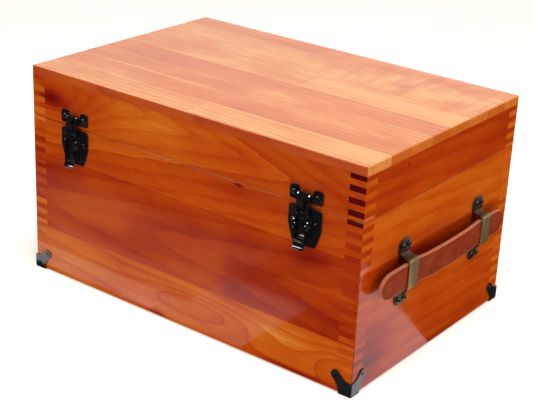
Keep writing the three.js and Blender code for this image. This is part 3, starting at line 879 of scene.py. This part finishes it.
for part, body in (("base", "case"), ("lid", "lid")):
    for wall in (*ENDS, *SIDES):
        node = f"{part}_{wall}_panel"
        wood = WOOD_FRONT if wall in ENDS else WOOD_SIDE
        wooden_piece(f"wood_{node}", node, wood, body)
wooden_piece("wood_lid_top_board", "lid_top_board", WOOD_TOP, "lid")
wooden_piece("plywood_bottom", "base_bottom_panel", PLYWOOD, "case")


# ---- Screws and nails -------------------------------------------------------------------------

SHANK_TIP = -8.6
THREADS = 7


def dome(radius, base, height, steps, fullness=1.0):
    """Points over a domed head, from its rim's upper edge at base to its top at height."""
    angles = [k * math.pi / 2 / steps for k in range(1, steps)]
    curve = [
        (radius * math.cos(angle) ** fullness, base + (height - base) * math.sin(angle))
        for angle in angles
    ]
    return [(radius, base)] + curve + [(0.0, height)]


def screw_mesh(name, head, height, stub=False):
    """A round-headed wood screw with a cross recess; a stub has only its head."""
    profile = [(0.0, 0.0 if stub else SHANK_TIP)]
    for k in range(0 if stub else THREADS):
        z = SHANK_TIP + 1 + k
        profile += [(1.0, z), (1.45, z + 0.35), (1.0, z + 0.7)]
    profile += [(1.25, 0.0), (head * 0.97, 0.0)] + dome(head, 0.18, height, 8, 0.8)
    bm = bmesh.new()
    lathe(bm, profile, 28, as_drawn)
    blank = loose_object(bm, "screw_blank")
    reach, half = head * 0.56, head * 0.15
    cross = [
        (reach, -half), (reach, half), (half, half), (half, reach), (-half, reach), (-half, half),
        (-reach, half), (-reach, -half), (-half, -half), (-half, -reach), (half, -reach), (half, -half),
    ]
    bm = bmesh.new()
    prism(bm, cross, height * 0.42, height + 1, as_drawn)
    mesh = carved(blank, loose_object(bm, "screw_cross"), "DIFFERENCE")
    mesh.name = name
    mesh.transform(TO_METRES)
    shade(mesh, 38)
    mesh.materials.clear()
    mesh.materials.append(SCREW_BLACK)
    return mesh


def nail_mesh(name, head, height):
    bm = bmesh.new()
    lathe(bm, [(0.0, 0.0), (head, 0.0)] + dome(head, 0.12, height, 6), 20, as_drawn)
    mesh = mesh_from(bm, name, TO_METRES)
    mesh.materials.append(SCREW_BLACK)
    return mesh


FACING = {
    "front": Matrix.Rotation(math.pi / 2, 4, "X"),
    "back": Matrix.Rotation(-math.pi / 2, 4, "X"),
    "right": Matrix.Rotation(math.pi / 2, 4, "Y"),
    "left": Matrix.Rotation(-math.pi / 2, 4, "Y"),
}

turn_draw = random.Random(4)


def fasten(name, mesh, seat, facing, body, replaced=()):
    """Puts a screw or nail with the underside of its head at seat, turned by chance."""
    piece = add_object(name, mesh, [], "case")
    turn = Matrix.Rotation(turn_draw.uniform(0, math.pi), 4, "Z")
    spot = TO_ROW @ Vector(seat)
    piece.parent = None
    piece.matrix_world = Matrix.Translation(spot) @ FACING[facing] @ turn
    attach(piece, body)
    if replaced:
        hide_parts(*replaced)
    return piece


BRACKET_SCREW = screw_mesh("bracket_screw", 3.6, 2.4)
CATCH_SCREW = screw_mesh("catch_screw", 2.88, 1.9)
PLATE_SCREW = screw_mesh("plate_screw", 2.7, 1.5, stub=True)
CORNER_NAIL = nail_mesh("corner_nail", 2.3, 0.9)

# How far the heads of the nails and plate screws are let into the metal.
SUNK = 0.05


# ---- Corner protectors ------------------------------------------------------------------------

PROTECTOR_SHEET = 1.0
PROTECTOR_SIDE = 15.5
PROTECTOR_OUT = FIT_GAP + PROTECTOR_SHEET
LOBE = 20.3
LOBE_RADIUS = 5.3
FOLD_ROUND = 1.5


def quadratic(a, b, c, steps):
    points = []
    for k in range(1, steps + 1):
        t = k / steps
        points.append(tuple(a[i] * (1 - t) ** 2 + 2 * b[i] * t * (1 - t) + c[i] * t ** 2 for i in range(2)))
    return points


def wing_outline():
    """One wing, drawn from the corner along two edges, with its nail lobe on the diagonal."""
    first = (LOBE + 0.64 * LOBE_RADIUS, LOBE - 0.77 * LOBE_RADIUS)
    outline = [(0, 0), (PROTECTOR_SIDE, 0)]
    outline += quadratic((PROTECTOR_SIDE, 0), (PROTECTOR_SIDE, 10), first, 7)
    for k in range(1, 17):
        angle = math.radians(-50 + 190 * k / 16)
        outline.append((LOBE + LOBE_RADIUS * math.cos(angle), LOBE + LOBE_RADIUS * math.sin(angle)))
    return outline + quadratic(outline[-1], (10, PROTECTOR_SIDE), (0, PROTECTOR_SIDE), 7)


def protector_mesh():
    """A protector in its own octant: three wings joined at rounded folds."""
    outline = wing_outline()
    wings = [
        as_drawn,
        lambda u, w, d: (u, d, w),
        lambda u, w, d: (d, u, w),
    ]
    whole = None
    for wing in wings:
        bm = bmesh.new()
        prism(bm, outline, 0, PROTECTOR_SHEET, wing)
        blank = loose_object(bm, "wing")
        whole = blank if whole is None else loose_mesh(carved(whole, blank, "UNION"), "wings")
    bm = bmesh.new()
    box_into(bm, (0, 60), (0, 60), (0, 60))
    bmesh.ops.bevel(bm, geom=bm.edges[:], offset=FOLD_ROUND, segments=5, profile=0.5, affect="EDGES")
    return carved(whole, loose_object(bm, "fold_round"), "INTERSECT")


PROTECTOR = protector_mesh()


def corner_protector(end, side):
    sign_x, sign_y = SIDES[side], ENDS[end]
    out_x, out_y = HALF_LENGTH + PROTECTOR_OUT, HALF_DEPTH + PROTECTOR_OUT
    corner = Matrix.Translation((sign_x * out_x, sign_y * out_y, -PROTECTOR_OUT))
    mirror = Matrix.Diagonal((-sign_x, -sign_y, 1, 1))
    bm = bmesh.new()
    bm.from_mesh(PROTECTOR)
    bm.transform(corner @ mirror)
    bmesh.ops.dissolve_limit(bm, angle_limit=math.radians(0.5), verts=bm.verts, edges=bm.edges)
    name = f"protector_{end}_{side}"
    node = f"corner_{end}_{side}"
    piece_from(bm, name, [PROTECTOR_ENAMEL], "case", [node], 0.28)
    nails = [("a", end, out_x - LOBE, out_y - SUNK), ("b", side, out_x - SUNK, out_y - LOBE)]
    for letter, facing, x, y in nails:
        seat = (sign_x * x, sign_y * y, LOBE - PROTECTOR_OUT)
        fasten(f"{name}_nail_{letter}", CORNER_NAIL, seat, facing, "case")


for end in ENDS:
    for side in SIDES:
        corner_protector(end, side)


# ---- Draw latches -----------------------------------------------------------------------------

PLATE_FACE = FIT_GAP + 1.4
PIVOT = (7.6, 170.0)
CLAW_PIN = (4.6, 157.5)

# Outlines of the latch's sheets, (across, z), and of what is seen from its side, (proud, z):
# a list of corners and a list of their radii. The thumb tab is a line with one radius.
BASE_OUTLINE = (
    [(-20, 187.5), (-20, 166.5), (-13.5, 147), (13.5, 147), (20, 166.5), (20, 187.5)],
    [4.5, 4, 3, 3, 4, 4.5])
LUG_PROFILE = (
    [(PLATE_FACE - 0.3, 162), (PLATE_FACE - 0.3, 180), (10.6, 175), (10.6, 166)],
    [0.2, 0.2, 4, 4])
LEVER_CHEEK = (
    [(4.4, 172.8), (10.6, 172.8), (10.2, 160), (10.4, 150.5), (7.6, 150.5), (2.9, 155), (2.9, 166)],
    [2.2, 3.2, 2, 1.4, 1.4, 2, 2])
THUMB_TAB = [(9.8, 155.0), (9.8, 149.6), (11.0, 147.2), (13.55, 146.35)]
CLAW_OUTLINE = (
    [(-7.3, 204.5), (-7.3, 178), (-5.3, 175.5), (-5.3, 158.5),
     (5.3, 158.5), (5.3, 175.5), (7.3, 178), (7.3, 204.5)],
    [2.6, 1.5, 1.5, 0.3, 0.3, 1.5, 1.5, 2.6])
CLAW_RIB = ([(4.9, 180), (7.5, 181.5), (7.5, 201), (4.9, 203.6)], [0.4, 1.2, 2.4, 0.4])
CATCH_OUTLINE = (
    [(-20, 193), (20, 193), (20, 208), (9, 208), (8.4, 201), (-8.4, 201), (-9, 208), (-20, 208)],
    [3, 3, 4.2, 3, 1.5, 1.5, 3, 4.2])


def edge_on(place):
    """The same place for a profile in (proud, z) that is as deep as the latch is wide."""
    return lambda proud, z, u: place(u, z, proud)


def along_width(centre, place):
    """The same place for something turned about a line along the width, from its (proud, z)."""
    return lambda a, b, c: place(c, centre[1] + b, centre[0] + a)


def both_cheeks(bm, profile, inner, thickness, place):
    for near in (inner, -inner - thickness):
        prism(bm, rounded(*profile), near, near + thickness, edge_on(place))


def pin_across(bm, centre, radius, half, place):
    """A pin along the width with slightly domed ends."""
    tip, crown = radius * 0.7, half - 0.25
    profile = [(0, -half), (tip, -half), (radius, -crown), (radius, crown), (tip, half), (0, half)]
    lathe(bm, profile, 20, along_width(centre, place))


def latch_base_plate(side, place):
    bm = bmesh.new()
    prism(bm, rounded(*BASE_OUTLINE), FIT_GAP, PLATE_FACE, place)
    both_cheeks(bm, LUG_PROFILE, 7.6, 1.3, place)
    # Two low ribs stiffen the plate below its lugs.
    for u in (-9.6, 8.4):
        slab(bm, (u, u + 1.2), (149.5, 161), 0.5, PLATE_FACE - 0.2, PLATE_FACE + 0.7, place)
    stand_in(bm, f"latch_{side}_base_plate", [ENAMEL], "case", 0.45, 3)
    for letter, u in (("a", -13.6), ("b", 13.6)):
        seat = place(u, 171.5, PLATE_FACE - SUNK)
        fasten(f"latch_{side}_plate_screw_{letter}", PLATE_SCREW, seat, "front", "case")


def latch_rivets(side, place):
    shank = [(0, 5.7), (1.4, 5.7), (1.4, 8.9)]
    head = [(2.6, 8.9), (2.55, 9.3), (2.1, 9.75), (1.2, 10.0), (0, 10.1)]
    for letter, sign in (("a", -1), ("b", 1)):
        bm = bmesh.new()
        lathe(bm, shank + head, 24, lambda a, b, c: along_width(PIVOT, place)(a, b, sign * c))
        stand_in(bm, f"latch_{side}_pivot_rivet_{letter}", [STEEL], "case")


def latch_lever(side, place):
    bm = bmesh.new()
    both_cheeks(bm, LEVER_CHEEK, 5.9, 1.2, place)
    line = resampled(rounded(THUMB_TAB, 2.4, closed=False, steps=6), 0.8)

    def half_width(distance, total):
        tip = min(1.0, (total - distance) / 3.2)
        return 4.6 + 2.5 * math.sqrt(max(0.0, 1 - (1 - tip) ** 2))

    bent_strip(bm, line, 1.2, half_width, edge_on(place), 0.45)
    # A raised bead crosses the web that joins the cheeks above the thumb tab.
    slab(bm, (9.9, 10.9), (153.6, 152.4), 0.4, -4.6, 4.6, edge_on(place))
    stand_in(bm, f"latch_{side}_lever", [ENAMEL], f"lever_{side}", 0.4, 3)


def latch_claw(side, place):
    bm = bmesh.new()
    prism(bm, rounded(*CLAW_OUTLINE), 3.9, 5.1, place)
    for near in (-7.3, 6.0):
        prism(bm, rounded(*CLAW_RIB), near, near + 1.3, edge_on(place))
    # The upper box of the claw, open above, and the cross bars below it.
    slab(bm, (-6.2, 1.8), (188.5, 203.2), [1, 1, 2.2, 2.2], 4.9, 7.0, place)
    for z, height, half in ((183.2, 1.5, 6.6), (177.2, 1.2, 5.0)):
        slab(bm, (-half, half), (z - height / 2, z + height / 2), 0.4, 4.9, 6.6, place)
    eye = [(0, -5.3), (2.1, -5.3), (2.3, -5.1), (2.3, 5.1), (2.1, 5.3), (0, 5.3)]
    lathe(bm, eye, 24, along_width(CLAW_PIN, place))
    stand_in(bm, f"latch_{side}_claw", [ENAMEL], f"claw_{side}", 0.35)


def latch_catch_plate(side, place):
    bm = bmesh.new()
    prism(bm, rounded(*CATCH_OUTLINE), FIT_GAP, PLATE_FACE, place)
    lip = (PLATE_FACE - 0.6, 3.5)
    slab(bm, lip, (196, 199.5), [0.1, 0.6, 0.6, 0.1], -5.5, 5.5, edge_on(place))
    stand_in(bm, f"latch_{side}_catch_plate", [ENAMEL], "lid", 0.45, 3)
    for letter, u in (("a", -14), ("b", 14)):
        node = f"latch_{side}_catch_screw_{letter}"
        seat = place(u, 200.5, PLATE_FACE + 0.1)
        fasten(f"{node}_visual", CATCH_SCREW, seat, "front", "lid", [node])


def latch_claw_pin(side, place):
    bm = bmesh.new()
    pin_across(bm, CLAW_PIN, 1.0, 7.3, place)
    stand_in(bm, f"latch_{side}_claw_pin", [STEEL], f"lever_{side}")


for side in SIDES:
    for part in (
            latch_base_plate, latch_rivets, latch_lever, latch_claw, latch_catch_plate, latch_claw_pin):
        part(side, on_end("front", SIDES[side] * LATCH_X))


# ---- Hinges -----------------------------------------------------------------------------------

HINGE_AXIS = (3.3, SEAM_Z)
KNUCKLE = 3.0
HINGE_FACE = FIT_GAP + 1.6
HINGE_HALF = 20
THIRD = HINGE_HALF / 3


def knuckle(bm, from_u, to_u, place):
    """A rolled knuckle with an open bore for the pin."""
    profile = [
        (1.65, from_u), (2.8, from_u), (KNUCKLE, from_u + 0.2),
        (KNUCKLE, to_u - 0.2), (2.8, to_u), (1.65, to_u),
    ]
    lathe(bm, profile, 28, along_width(HINGE_AXIS, place), bored=True)


def hinge_leaf(name, direction, knuckles, node, body, place):
    """One leaf, up or down from the seam. The upper one has a tongue that stops the lid."""
    bm = bmesh.new()
    near, far = SEAM_Z + direction * 3.4, SEAM_Z + direction * 25
    slab(bm, (-HINGE_HALF, HINGE_HALF), (near, far), [0.6, 0.6, 3.5, 3.5], FIT_GAP, HINGE_FACE, place)
    for from_u, to_u in knuckles:
        knuckle(bm, from_u, to_u, place)
        low, high = SEAM_Z + direction * 2.6, near + direction * 0.5
        prism(bm, [(from_u, low), (to_u, low), (to_u, high), (from_u, high)], FIT_GAP, HINGE_FACE, place)
    if direction > 0:
        half = THIRD - 1
        slab(bm, (-half, half), (5.7, 10), [0.2, 0.2, 1.5, 1.5], -0.7, 0.7,
             lambda u, proud, up: place(u, SEAM_Z + up, proud))
    piece_from(bm, name, [ENAMEL], body, [node], 0.25)
    for number, (u, drop) in enumerate(((-13.5, 17.5), (0, 11), (13.5, 17.5)), 1):
        seat = place(u, SEAM_Z + direction * drop, HINGE_FACE - SUNK)
        fasten(f"{name}_screw_{number}", PLATE_SCREW, seat, "back", body)


def hinge(side):
    place = on_end("back", SIDES[side] * HINGE_X)
    outer = [(-HINGE_HALF, -THIRD - 0.4), (THIRD + 0.4, HINGE_HALF)]
    name = f"hinge_{side}"
    hinge_leaf(f"{name}_lower_leaf", -1, outer, f"{name}_base_leaf", "case", place)
    hinge_leaf(f"{name}_upper_leaf", 1, [(-THIRD, THIRD)], f"{name}_lid_leaf", "lid", place)
    bm = bmesh.new()
    pin_across(bm, HINGE_AXIS, 1.3, HINGE_HALF + 0.8, place)
    stand_in(bm, f"{name}_pin", [STEEL], "case")


for side in SIDES:
    hinge(side)


# ---- Handles ----------------------------------------------------------------------------------

BRACKET_SHEET = 1.4
BRACKET_LINE = [
    (1, 148.5), (1, 134), (4.5, 130.6), (13.4, 129.6), (13.4, 96.6), (4.5, 93.4), (1, 89), (1, 75),
]
FOOT_LENGTH = 13.0
FOOT_CORNER = 6.5
FOOT_POINTS = 9
FOOT_HALF = 10.85
NECK_HALF = 8.2
PLATE_HALF = 8.75
FOOT_SCREWS = [(-5.4, 142.0), (5.4, 142.0), (-5.4, 81.5), (5.4, 81.5)]


def smooth(t):
    t = min(1.0, max(0.0, t))
    return t * t * (3 - 2 * t)


def bracket_half_width(distance, total):
    """Half the bracket's width: a round-ended foot at each end, necks, and the plate between."""
    from_end = min(distance, total - distance)
    if from_end < FOOT_LENGTH:
        rounding = max(0.0, FOOT_CORNER - from_end)
        return FOOT_HALF - (FOOT_CORNER - math.sqrt(max(0.0, FOOT_CORNER ** 2 - rounding ** 2)))
    into_neck = smooth((from_end - FOOT_LENGTH) / 3.0)
    into_plate = smooth((from_end - FOOT_LENGTH - 5) / 6.0)
    neck = FOOT_HALF + (NECK_HALF - FOOT_HALF) * into_neck
    return neck + (PLATE_HALF - NECK_HALF) * into_plate


def bracket(side, end, centre_y):
    """A bent bracket and its four screws. Its round feet need more points than the rest."""
    place = on_side(side)
    line = resampled(rounded(BRACKET_LINE, 3.2, closed=False, steps=8), 0.8)
    first, middle, last = line[:FOOT_POINTS], line[FOOT_POINTS:-FOOT_POINTS], line[-FOOT_POINTS:]
    line = resampled(first, 0.3) + middle + resampled(last, 0.3)
    bm = bmesh.new()
    bent_strip(bm, without_repeats(line, False), BRACKET_SHEET, bracket_half_width,
               lambda out, z, across: place(centre_y + across, z, out), 0.45)
    name = f"handle_{side}_{end}"
    stand_in(bm, f"{name}_bracket", [BRONZE], "case")
    for number, (step, z) in enumerate(FOOT_SCREWS, 1):
        node = f"{name}_screw_{number}"
        seat = place(centre_y + step, z, FIT_GAP + BRACKET_SHEET + 0.1)
        fasten(f"{node}_visual", BRACKET_SCREW, seat, side, "case", [node])


STRAP_Y = -3.0
STRAP_HALF = 124.6
STRAP_END = 18.0
STRAP_Z = 112.6
STRAP_HALF_HEIGHT = 14.0
STRAP_THICKNESS = 4.18
STRAP_STATIONS = [
    (-127.7, 10.6), (-109.7, 10.4), (-84, 10.2), (-71, 10.2), (-58, 10.2), (-35.5, 12.4), (0, 13.2),
    (39, 12.4), (65, 10.2), (78, 10.2), (91, 10.2), (105.7, 10.2), (121.7, 9.8),
]
SECTION_STEPS = 4


def spline(stations, steps):
    """A Catmull-Rom curve through the stations."""
    points = [Vector(station) for station in stations]
    line = []
    for p0, p1, p2, p3 in zip(points[:1] + points, points, points[1:], points[2:] + points[-1:]):
        for k in range(steps):
            t = k / steps
            line.append(tuple(0.5 * (
                2 * p1 + (p2 - p0) * t + (2 * p0 - 5 * p1 + 4 * p2 - p3) * t ** 2
                + (3 * p1 - p0 - 3 * p2 + p3) * t ** 3)))
    return line + [tuple(points[-1])]


def along_line(line, y):
    """The point of a line of (y, out) pairs at one y."""
    for a, b in zip(line, line[1:]):
        if a[0] <= y <= b[0] and b[0] > a[0]:
            t = (y - a[0]) / (b[0] - a[0])
            return (y, a[1] + (b[1] - a[1]) * t)
    return line[0] if y < line[0][0] else line[-1]


def strap_half_height(y):
    past = max(0.0, abs(y - STRAP_Y) - (STRAP_HALF - STRAP_END)) / STRAP_END
    return max(STRAP_HALF_HEIGHT * math.sqrt(max(0.0, 1 - min(past, 0.9995) ** 2)), 0.42)


def strap_stops():
    """Where the strap's sections stand along y: evenly, and closer together in the round ends."""
    ends = [STRAP_HALF - STRAP_END + STRAP_END * math.sin(k * math.pi / 2 / 22) for k in range(23)]
    middle = list(range(-104, 105, 2))
    return [STRAP_Y + y for y in sorted([-y for y in ends] + middle + ends)]


def strap(side):
    """The strap: a sweep along its bowed line, with round ends and two kinds of surface."""
    place = on_side(side)
    base = spline(STRAP_STATIONS, 40)
    line = [along_line(base, y) for y in strap_stops()]
    loops = []
    for (y, out), normal in zip(line, normals_of(line)):
        section = bar_section(strap_half_height(y), STRAP_THICKNESS / 2, 0.9, SECTION_STEPS)
        loops.append([
            place(y + normal.x * through, STRAP_Z + up, out + normal.y * through)
            for up, through in section
        ])
    bm = bmesh.new()
    # A section's corners run from its lower edge round; its short sides are the cut edges.
    for face, i in skin(bm, loops):
        corner, step = divmod(i, SECTION_STEPS + 1)
        face.material_index = int(step < SECTION_STEPS or corner % 2 == 0)
    for face in bm.faces:
        if len(face.verts) > 4:
            face.material_index = 1
    surfaces = [LEATHER_FACE, LEATHER_EDGE]
    stand_in(bm, f"handle_{side}_strap", surfaces, f"strap_{side}")


for side in SIDES:
    for end, centre_y in zip(ENDS, BRACKET_Y):
        bracket(side, end, centre_y)
    strap(side)


# ---- Stage, light and camera, in metres -------------------------------------------------------

STAGE_HALF = 8.0
CURVE_FROM = 3.0
CURVE_RADIUS = 0.6
WALL_HEIGHT = 5.0
CURVE_STEPS = 12


def stage_piece(name, profile, material):
    """A part of the pale sweep behind and under the case, from a profile of (y, z) pairs."""
    bm = bmesh.new()
    rows = [[bm.verts.new((x, y, z)) for x in (-STAGE_HALF, STAGE_HALF)] for y, z in profile]
    for near, far in zip(rows, rows[1:]):
        bm.faces.new((near[0], near[1], far[1], far[0]))
    mesh = drawn_mesh(bm, name)
    mesh.shade_smooth()
    mesh.materials.append(material)
    piece = linked(name, mesh)
    return piece


def backdrop():
    """A floor that curves up into a wall. The varnish doesn't mirror the floor."""
    start = (CURVE_FROM, 0.0)
    floor = stage_piece("floor", [(-STAGE_HALF, 0.0), start], stage_material("pale floor", 0.42))
    floor.visible_glossy = False
    curve = [start]
    for k in range(1, CURVE_STEPS + 1):
        angle = k * math.pi / 2 / CURVE_STEPS
        rise = CURVE_RADIUS - CURVE_RADIUS * math.cos(angle)
        curve.append((CURVE_FROM + CURVE_RADIUS * math.sin(angle), rise))
    wall = curve + [(CURVE_FROM + CURVE_RADIUS, WALL_HEIGHT)]
    stage_piece("wall", wall, stage_material("pale wall", 0.5))


WARM = (1.0, 0.97, 0.94)
PALE = (1.0, 0.98, 0.96)
WHITE = (1.0, 1.0, 1.0)

# Lamps: name, place, height of the point they face, size, power, colour, rays that miss them.
LAMPS = [
    ("key", (0.35, -0.35, 2.2), 0.15, (1.3, 1.3), 50, WARM, ["glossy"]),
    ("front fill", (-0.5, -2.0, 0.8), 0.1, (1.2, 0.9), 10, PALE, ["glossy"]),
    ("right fill", (2.0, 0.3, 0.8), 0.1, (1.2, 0.9), 10, PALE, []),
    ("glint", (-0.9, -0.9, 1.5), 0.15, (1.0, 0.35), 24, WHITE, ["diffuse"]),
    ("back sheen", (-0.80, 1.05, 0.85), 0.25, (2.0, 1.2), 3, WHITE, ["diffuse"]),
]

# Soft lights lying on the floor that only show as a sheen in the varnish: name, centre, turn in
# degrees, size, power.
SHEEN_CARDS = [
    ("middle sheen", (-0.01, -0.213), 0, (0.18, 0.12), 0.050),
    ("middle sheen", (-0.01, -0.213), 0, (0.15, 0.10), 0.055),
    ("middle sheen", (-0.01, -0.213), 0, (0.0975, 0.065), 0.040),
    ("left sheen", (-0.17, -0.20), 0, (0.24, 0.09), 0.06),
    ("wide sheen", (-0.24, -0.26), 0, (0.42, 0.20), 0.06),
    ("side sheen", (0.305, -0.016), 36, (0.286, 0.123), 0.105),
]
CARD_HEIGHT = 0.002


def area_light(name, place, size, power, colour, missing):
    """A lamp that the camera doesn't see; missing lists the other rays that miss it."""
    data = bpy.data.lights.new(name, "AREA")
    data.shape = "RECTANGLE"
    data.size, data.size_y = size
    data.energy = power
    data.color = colour
    lamp = linked(name, data)
    lamp.location = place
    for ray in ("camera", *missing):
        setattr(lamp, "visible_" + ray, False)
    return lamp


def lights():
    for name, place, height, size, power, colour, missing in LAMPS:
        lamp = area_light(name, place, size, power, colour, missing)
        view = Vector((0, 0, height)) - Vector(place)
        lamp.rotation_euler = view.to_track_quat("-Z", "Y").to_euler()
    unseen = ["diffuse", "transmission", "shadow", "volume_scatter"]
    for name, centre, turn, size, power in SHEEN_CARDS:
        card = area_light(name, (*centre, CARD_HEIGHT), size, power, WHITE, unseen)
        card.rotation_euler = (math.pi, 0, math.radians(turn))


def world_light(strength):
    world = bpy.data.worlds.new("soft room")
    bpy.context.scene.world = world
    world.use_nodes = True
    background = world.node_tree.nodes["Background"]
    background.inputs["Color"].default_value = (*PALE, 1.0)
    background.inputs["Strength"].default_value = strength
    world.cycles_visibility.glossy = False


CAMERA_PLACE = Vector((0.8256, -1.1133, 0.6864))
CAMERA_TARGET = Vector((0.00487, -0.00705, 0.10376))
CAMERA_ROLL = math.radians(2.7255)


def camera():
    data = bpy.data.cameras.new("camera")
    data.lens = 88.46
    data.sensor_width = 36
    data.clip_start = 0.05
    data.clip_end = 50
    forward = (CAMERA_TARGET - CAMERA_PLACE).normalized()
    level = forward.cross(Vector((0, 0, 1))).normalized()
    upright = level.cross(forward)
    right = level * math.cos(CAMERA_ROLL) + upright * math.sin(CAMERA_ROLL)
    up = right.cross(forward)
    turn = Matrix((right, up, -forward)).transposed().to_4x4()
    eye = linked("camera", data)
    eye.matrix_world = Matrix.Translation(CAMERA_PLACE) @ turn
    bpy.context.scene.camera = eye


backdrop()
lights()
world_light(0.05)
camera()
bpy.context.scene.view_settings.view_transform = "Standard"
